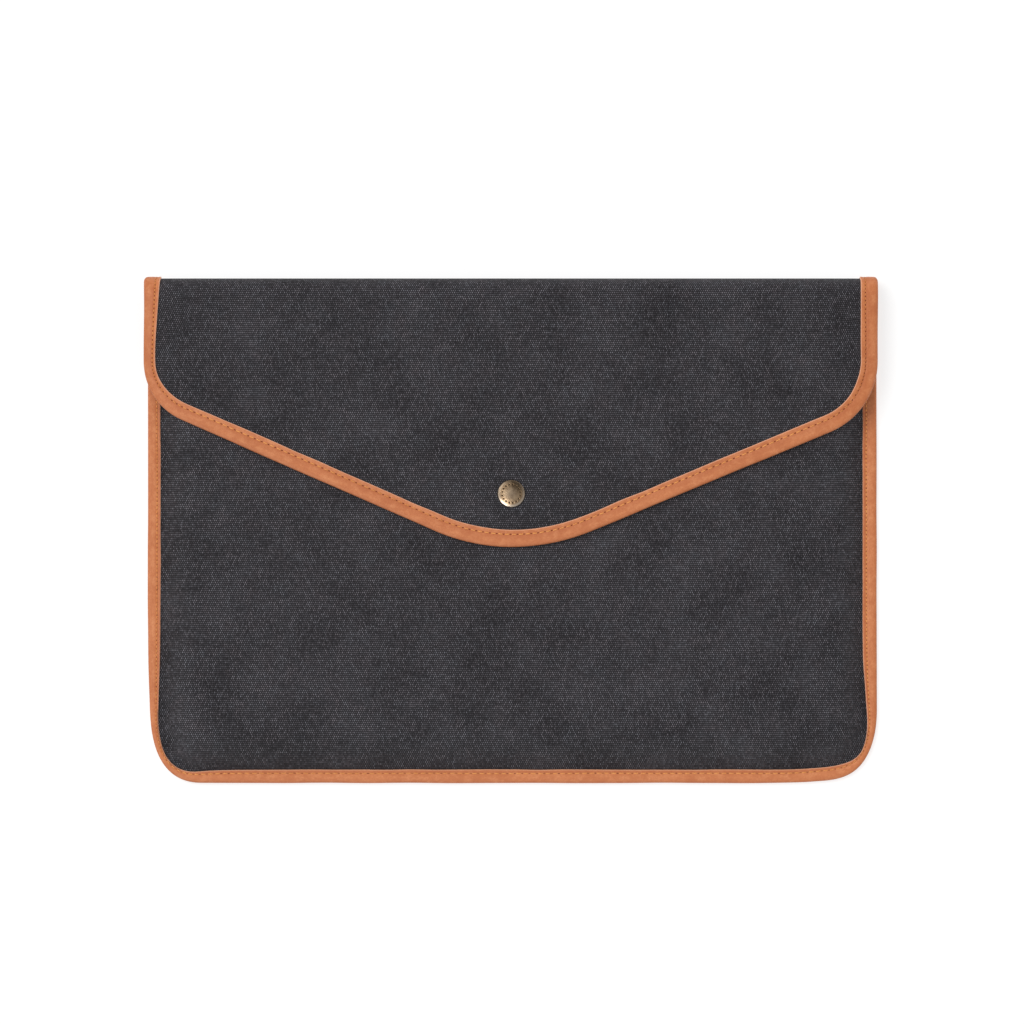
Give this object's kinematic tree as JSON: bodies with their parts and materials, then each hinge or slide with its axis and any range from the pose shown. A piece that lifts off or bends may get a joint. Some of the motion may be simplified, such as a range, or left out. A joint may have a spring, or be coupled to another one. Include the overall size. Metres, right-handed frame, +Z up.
{
  "type": "laptop sleeve",
  "caption": "Padded canvas laptop sleeve with a pointed envelope flap, leather edge binding and a brass snap, lying closed on its back.",
  "frame": {"origin": "centre of the bounding box's underside, at table level", "axes": "+Z up through the flap, +Y towards the fold, +X along the width, to the right seen from above"},
  "size_m": [0.4, 0.275, 0.0248],
  "materials": {
    "canvas": "washed plain-weave cotton canvas, charcoal",
    "foam": "closed-cell foam sheet",
    "lining": "fine woven cotton lining",
    "stiffener": "bonded interlining",
    "leather": "smooth matte tan leather, cut edge",
    "thread": "orange tan sewing thread",
    "patch": "split leather reinforcement",
    "brass": "antique brass, worn bright on the crown",
    "spring_wire": "bright spring wire"
  },
  "bodies": {
    "sleeve": {"back_canvas": "canvas", "back_foam": "foam", "back_lining": "lining", "front_canvas": "canvas", "front_foam": "foam", "front_lining": "lining", "mouth_binding": "leather", "mouth_stitching": "thread", "body_binding": "leather", "body_stitching": "thread", "front_snap_patch": "patch", "snap_stud": "brass", "snap_post": "brass"},
    "fold": {"fold_canvas": "canvas", "fold_stiffener": "stiffener", "fold_lining": "lining", "fold_binding_left": "leather", "fold_binding_right": "leather"},
    "flap": {"flap_canvas": "canvas", "flap_stiffener": "stiffener", "flap_lining": "lining", "flap_binding": "leather", "flap_stitching": "thread", "flap_snap_patch": "patch", "snap_cap": "brass", "snap_socket": "brass", "snap_spring": "spring_wire"}
  },
  "joints": [
    {"name": "fold_hinge", "type": "hinge", "parent": "sleeve", "child": "fold", "pos_m": [0, 0.13429, 0.00321], "axis": [-1, 0, 0], "range_deg": [0, 89]},
    {"name": "flap_hinge", "type": "hinge", "parent": "fold", "child": "flap", "pos_m": [0, 0.13429, 0.02009], "axis": [-1, 0, 0], "range_deg": [0, 89]}
  ],
  "couplings": [
    {"joint": "flap_hinge", "follows": "fold_hinge", "ratio": 1}
  ]
}
